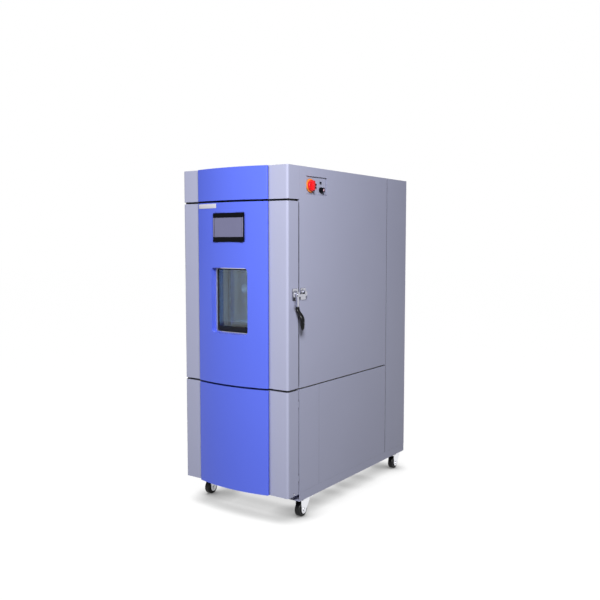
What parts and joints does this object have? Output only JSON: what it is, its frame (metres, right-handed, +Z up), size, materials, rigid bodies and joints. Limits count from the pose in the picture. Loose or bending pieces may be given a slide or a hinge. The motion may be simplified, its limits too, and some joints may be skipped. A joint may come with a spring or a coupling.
{
  "type": "environmental test chamber",
  "caption": "Floor-standing temperature and humidity test chamber on casters: grey cabinet, convex blue front, windowed door with touch panel and side latch.",
  "frame": {"origin": "centre of the whole part's footprint, on the floor", "axes": "+Z up, -Y the front with the door, +X the latch side"},
  "size_m": [0.7635, 1.336, 1.8],
  "materials": {
    "grey_paint": "fine textured powder coat",
    "frame_paint": "powder coat",
    "blue_paint": "satin powder coat",
    "stainless": "fine brushed",
    "chrome": "polished plate",
    "zinc": "bright zinc plate",
    "caster_rubber": "matt",
    "gasket_rubber": "matt",
    "black_plastic": "glossy",
    "screen_glass": "anti-glare",
    "window_glass": "clear",
    "yellow_plastic": "satin",
    "red_plastic": "satin",
    "lamp_glass": "frosted",
    "insulation": "fibrous",
    "machine_paint": "satin black",
    "fin_aluminium": "mill",
    "galvanised": "galvanised",
    "fan_plastic": "matt",
    "tank_plastic": "satin"
  },
  "bodies": {
    "cabinet": {"air_baffle": "stainless", "base_frame": "frame_paint", "cable_gland": "black_plastic", "caster_plates": "zinc", "chamber_insulation": "insulation", "chamber_lamp": "lamp_glass", "chamber_liner": "stainless", "compressors": "machine_paint", "condenser": "fin_aluminium", "condenser_shroud": "galvanised", "electrical_plate": "galvanised", "evaporator": "fin_aluminium", "fan_motors": "machine_paint", "header_cover": "grey_paint", "header_fascia": "blue_paint", "heater_coil": "stainless", "hinge_cabinet_leaves": "chrome", "isolator_escutcheon": "yellow_plastic", "latch_strike": "chrome", "left_side_panels": "grey_paint", "louvre_panel": "grey_paint", "lower_cover": "grey_paint", "lower_fascia": "blue_paint", "panel_sockets": "black_plastic", "rear_service_panel": "grey_paint", "rear_shell": "grey_paint", "right_lower_panels": "grey_paint", "right_side_panel": "grey_paint", "shelf_supports": "stainless", "switch_plate": "grey_paint", "test_port": "stainless", "top_panel": "grey_paint", "water_tank": "tank_plastic", "wire_shelves": "stainless"},
    "door": {"door_shell": "grey_paint", "door_fascia": "blue_paint", "door_insulation": "insulation", "door_liner": "stainless", "door_gasket": "gasket_rubber", "window_frame": "stainless", "window_panes": "window_glass", "touch_panel_bezel": "black_plastic", "touch_screen": "screen_glass", "hinge_door_leaves": "chrome", "latch_body": "chrome"},
    "latch_lever": {"latch_lever": "chrome", "lever_grip": "black_plastic"},
    "isolator_knob": {"isolator_knob": "red_plastic"},
    "overtemp_dial": {"overtemp_dial": "black_plastic"},
    "reset_button": {"reset_button": "black_plastic"},
    "circulation_fan": {"fan_impeller": "fin_aluminium"},
    "condenser_fan": {"condenser_fan": "fan_plastic"},
    "fork_front_left": {"caster_fork_front_left": "zinc"},
    "wheel_front_left": {"caster_wheel_front_left": "caster_rubber"},
    "fork_front_right": {"caster_fork_front_right": "zinc"},
    "wheel_front_right": {"caster_wheel_front_right": "caster_rubber"},
    "fork_rear_left": {"caster_fork_rear_left": "zinc"},
    "wheel_rear_left": {"caster_wheel_rear_left": "caster_rubber"},
    "fork_rear_right": {"caster_fork_rear_right": "zinc"},
    "wheel_rear_right": {"caster_wheel_rear_right": "caster_rubber"}
  },
  "joints": [
    {"name": "door_hinge", "type": "hinge", "parent": "cabinet", "child": "door", "pos_m": [-0.374, -0.527, 1.156], "axis": [0, 0, -1], "range_deg": [0, 120]},
    {"name": "latch_turn", "type": "hinge", "parent": "door", "child": "latch_lever", "pos_m": [0.3417, -0.561, 1.163], "axis": [-1, 0, 0], "range_deg": [0, 90]},
    {"name": "isolator_turn", "type": "hinge", "parent": "cabinet", "child": "isolator_knob", "pos_m": [0.328, -0.421, 1.708], "axis": [1, 0, 0], "range_deg": [0, 90]},
    {"name": "overtemp_turn", "type": "hinge", "parent": "cabinet", "child": "overtemp_dial", "pos_m": [0.326, -0.3235, 1.6905], "axis": [1, 0, 0], "range_deg": [0, 270]},
    {"name": "reset_press", "type": "slide", "parent": "cabinet", "child": "reset_button", "axis": [-1, 0, 0], "range_m": [0, 0.003], "stiffness_N_per_m": 500},
    {"name": "circulation_spin", "type": "hinge", "parent": "cabinet", "child": "circulation_fan", "pos_m": [-0.019, 0.193, 1.211], "axis": [0, 1, 0], "continuous": true},
    {"name": "condenser_spin", "type": "hinge", "parent": "cabinet", "child": "condenser_fan", "pos_m": [-0.019, 0.498, 0.345], "axis": [0, 1, 0], "continuous": true},
    {"name": "swivel_front_left", "type": "hinge", "parent": "cabinet", "child": "fork_front_left", "pos_m": [-0.33, -0.435, 0.09], "axis": [0, 0, 1], "continuous": true},
    {"name": "roll_front_left", "type": "hinge", "parent": "fork_front_left", "child": "wheel_front_left", "pos_m": [-0.33, -0.461, 0.0375], "axis": [1, 0, 0], "continuous": true},
    {"name": "swivel_front_right", "type": "hinge", "parent": "cabinet", "child": "fork_front_right", "pos_m": [0.292, -0.435, 0.09], "axis": [0, 0, 1], "continuous": true},
    {"name": "roll_front_right", "type": "hinge", "parent": "fork_front_right", "child": "wheel_front_right", "pos_m": [0.292, -0.461, 0.0375], "axis": [1, 0, 0], "continuous": true},
    {"name": "swivel_rear_left", "type": "hinge", "parent": "cabinet", "child": "fork_rear_left", "pos_m": [-0.33, 0.582, 0.09], "axis": [0, 0, 1], "continuous": true},
    {"name": "roll_rear_left", "type": "hinge", "parent": "fork_rear_left", "child": "wheel_rear_left", "pos_m": [-0.33, 0.556, 0.0375], "axis": [1, 0, 0], "continuous": true},
    {"name": "swivel_rear_right", "type": "hinge", "parent": "cabinet", "child": "fork_rear_right", "pos_m": [0.292, 0.582, 0.09], "axis": [0, 0, 1], "continuous": true},
    {"name": "roll_rear_right", "type": "hinge", "parent": "fork_rear_right", "child": "wheel_rear_right", "pos_m": [0.292, 0.556, 0.0375], "axis": [1, 0, 0], "continuous": true}
  ]
}
